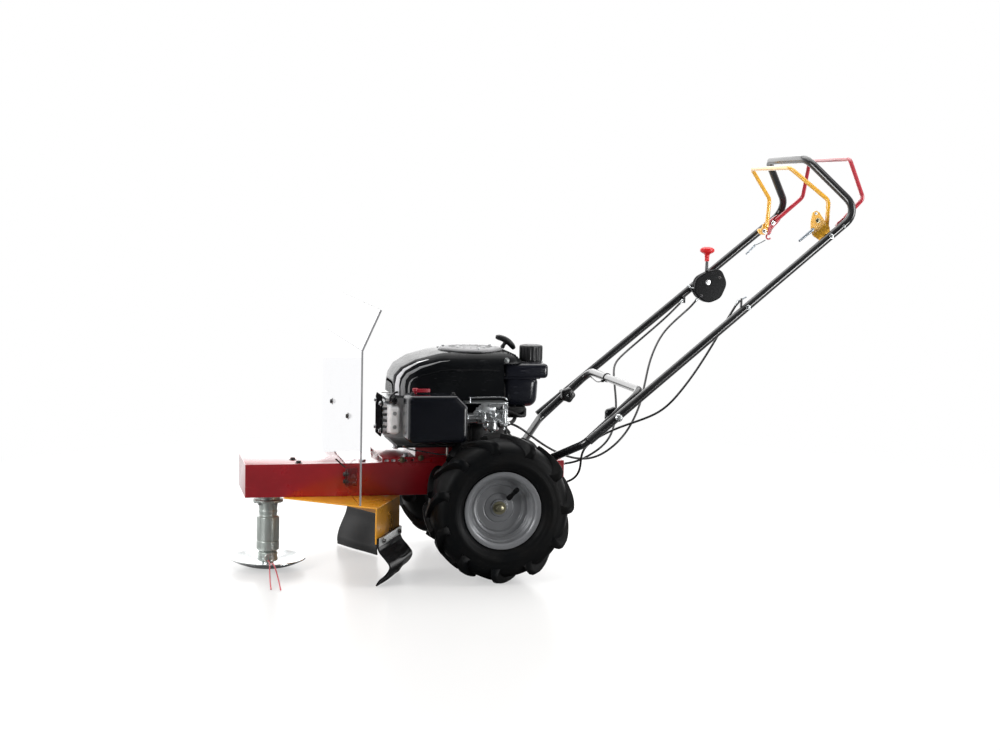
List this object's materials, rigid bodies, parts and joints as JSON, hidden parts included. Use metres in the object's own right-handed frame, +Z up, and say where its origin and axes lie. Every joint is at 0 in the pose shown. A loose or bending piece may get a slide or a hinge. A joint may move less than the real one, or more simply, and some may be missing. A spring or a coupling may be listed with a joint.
{
  "type": "wheeled brush cutter",
  "caption": "Walk-behind wheeled brush cutter: engine on a chassis beam over lugged tyres, line-cutting head on a free skid dish ahead, clear shield, folding handlebar with squeeze bails.",
  "frame": {"origin": "on the ground, under the middle of the object's bounding box", "axes": "+X back towards the handlebar's grip, +Y to the left side of the picture's far wheel (the machine's right as its user walks towards -X), +Z up"},
  "size_m": [1.4394, 0.64, 0.9649],
  "materials": {
    "tyre_rubber": "black lugged rubber, dull",
    "rim_paint": "grey paint, satin, with a dusty film",
    "zinc": "zinc plated, bright with a faint blue cast",
    "steel": "bare turned or pressed steel",
    "cast_iron": "dark grey castings",
    "red_paint": "red powder coat, glossy",
    "orange_paint": "orange powder coat, glossy",
    "yellow_paint": "yellow plastic dip over a bent bar",
    "red_bar_paint": "red plastic dip over a bent bar",
    "black_paint": "black powder coat, semi gloss",
    "black_casting": "aluminium casting painted black",
    "aluminium": "bare cast or pressed aluminium",
    "black_plastic": "moulded black plastic, satin",
    "red_plastic": "moulded red plastic, glossy",
    "clear_sheet": "clear polycarbonate sheet",
    "flap_rubber": "smooth black rubber sheet with a sheen",
    "belt_rubber": "black V-belt",
    "nylon_line": "red nylon trimmer line",
    "cable_sheath": "black plastic sheath over a steel cable"
  },
  "bodies": {
    "chassis": {"air_filter_base": "black_plastic", "air_filter_cover": "black_plastic", "axle_gearbox": "cast_iron", "blower_housing": "black_plastic", "carburettor": "aluminium", "chassis_beam": "red_paint", "clamp_bolt_left": "zinc", "clamp_bolt_right": "zinc", "clutch_cable": "cable_sheath", "control_plate": "zinc", "crankcase": "black_casting", "cylinder": "aluminium", "drive_belt": "belt_rubber", "drive_cable": "cable_sheath", "engine_plate": "red_paint", "flap_clamp_left": "zinc", "flap_clamp_right": "zinc", "flap_left": "flap_rubber", "flap_right": "flap_rubber", "fuel_tank": "black_plastic", "guard": "orange_paint", "head_bearing": "steel", "head_belt": "belt_rubber", "head_housing": "zinc", "lower_handle": "black_paint", "muffler": "steel", "rocker_cover": "aluminium", "shield": "clear_sheet", "shield_bracket_left": "black_paint", "shield_bracket_right": "black_paint", "spark_plug": "black_plastic", "starter_cap": "aluminium", "throttle_cable": "cable_sheath"},
    "left_wheel": {"tyre_left": "tyre_rubber", "rim_left": "rim_paint", "half_shaft_left": "zinc"},
    "right_wheel": {"tyre_right": "tyre_rubber", "rim_right": "rim_paint", "half_shaft_right": "zinc"},
    "crank": {"crankshaft": "steel", "flywheel": "aluminium"},
    "head": {"head_shaft": "steel", "head_pulley": "cast_iron", "line_holder": "zinc", "cutting_line": "nylon_line"},
    "dish": {"skid_dish": "zinc"},
    "axle_drive": {"axle_pulley": "cast_iron"},
    "idler_arm": {"idler_arm": "zinc"},
    "idler_pulley": {"idler_pulley": "steel"},
    "handle": {"upper_handle": "black_paint", "throttle_box": "black_plastic"},
    "throttle": {"throttle_lever": "black_plastic", "throttle_knob": "red_plastic"},
    "yellow_bail": {"yellow_bail": "yellow_paint"},
    "red_bail": {"red_bail": "red_bar_paint"},
    "starter": {"starter_grip": "black_plastic"},
    "fuel_cap": {"fuel_cap": "black_plastic"},
    "choke": {"choke_lever": "red_plastic"},
    "knob_left": {"clamp_knob_left": "black_plastic"},
    "knob_right": {"clamp_knob_right": "black_plastic"}
  },
  "joints": [
    {"name": "left_wheel_spin", "type": "hinge", "parent": "chassis", "child": "left_wheel", "pos_m": [-0.1414, -0.2025, 0.165], "axis": [0, 1, 0], "continuous": true},
    {"name": "right_wheel_spin", "type": "hinge", "parent": "chassis", "child": "right_wheel", "pos_m": [-0.1414, 0.2025, 0.165], "axis": [0, 1, 0], "continuous": true},
    {"name": "crank_spin", "type": "hinge", "parent": "chassis", "child": "crank", "pos_m": [-0.1694, 0, 0.3], "axis": [0, 0, 1], "continuous": true},
    {"name": "head_spin", "type": "hinge", "parent": "chassis", "child": "head", "pos_m": [-0.6337, 0, 0.12], "axis": [0, 0, 1], "continuous": true},
    {"name": "dish_spin", "type": "hinge", "parent": "head", "child": "dish", "pos_m": [-0.6337, 0, 0.01], "axis": [0, 0, 1], "continuous": true},
    {"name": "axle_pulley_spin", "type": "hinge", "parent": "chassis", "child": "axle_drive", "pos_m": [-0.0364, 0, 0.2], "axis": [0, 0, 1], "continuous": true},
    {"name": "idler_swing", "type": "hinge", "parent": "chassis", "child": "idler_arm", "pos_m": [-0.4264, -0.05816, 0.23], "axis": [0, 0, 1], "range_deg": [0, 4]},
    {"name": "idler_spin", "type": "hinge", "parent": "idler_arm", "child": "idler_pulley", "pos_m": [-0.3414, -0.05816, 0.226], "axis": [0, 0, 1], "continuous": true},
    {"name": "handle_fold", "type": "hinge", "parent": "chassis", "child": "handle", "pos_m": [0.1206, 0, 0.369], "axis": [0, -1, 0], "range_deg": [-12, 90], "deforming": ["throttle_cable", "clutch_cable", "drive_cable"]},
    {"name": "knob_left_turn", "type": "hinge", "parent": "chassis", "child": "knob_left", "pos_m": [0.1206, -0.195, 0.369], "axis": [0, 1, 0], "range_deg": [0, 360]},
    {"name": "knob_right_turn", "type": "hinge", "parent": "chassis", "child": "knob_right", "pos_m": [0.1206, 0.195, 0.369], "axis": [0, 1, 0], "range_deg": [0, 360]},
    {"name": "throttle_swing", "type": "hinge", "parent": "handle", "child": "throttle", "pos_m": [0.4752, 0.1994, 0.6512], "axis": [0, 1, 0], "range_deg": [-45, 20]},
    {"name": "yellow_bail_pull", "type": "hinge", "parent": "handle", "child": "yellow_bail", "pos_m": [0.6206, 0, 0.7813], "axis": [0, 1, 0], "range_deg": [0, 10], "stiffness_Nm_per_rad": 12, "springref_deg": -11.46},
    {"name": "red_bail_pull", "type": "hinge", "parent": "handle", "child": "red_bail", "pos_m": [0.6466, 0, 0.8027], "axis": [0, -1, 0], "range_deg": [0, 18], "stiffness_Nm_per_rad": 6, "springref_deg": -17.19},
    {"name": "starter_pull", "type": "slide", "parent": "chassis", "child": "starter", "axis": [0.5299, 0, 0.848], "range_m": [0, 0.5], "stiffness_N_per_m": 20, "springref_m": -0.5},
    {"name": "fuel_cap_turn", "type": "hinge", "parent": "chassis", "child": "fuel_cap", "pos_m": [-0.0314, -0.03, 0.49], "axis": [0, 0, 1], "range_deg": [0, 180]},
    {"name": "choke_turn", "type": "hinge", "parent": "chassis", "child": "choke", "pos_m": [-0.3234, -0.144, 0.418], "axis": [0, 0, 1], "range_deg": [0, 40]}
  ],
  "couplings": [
    {"joint": "head_spin", "follows": "crank_spin", "ratio": 0.6667},
    {"joint": "axle_pulley_spin", "follows": "crank_spin", "ratio": 0.6},
    {"joint": "idler_swing", "follows": "red_bail_pull", "ratio": 0.2222}
  ]
}
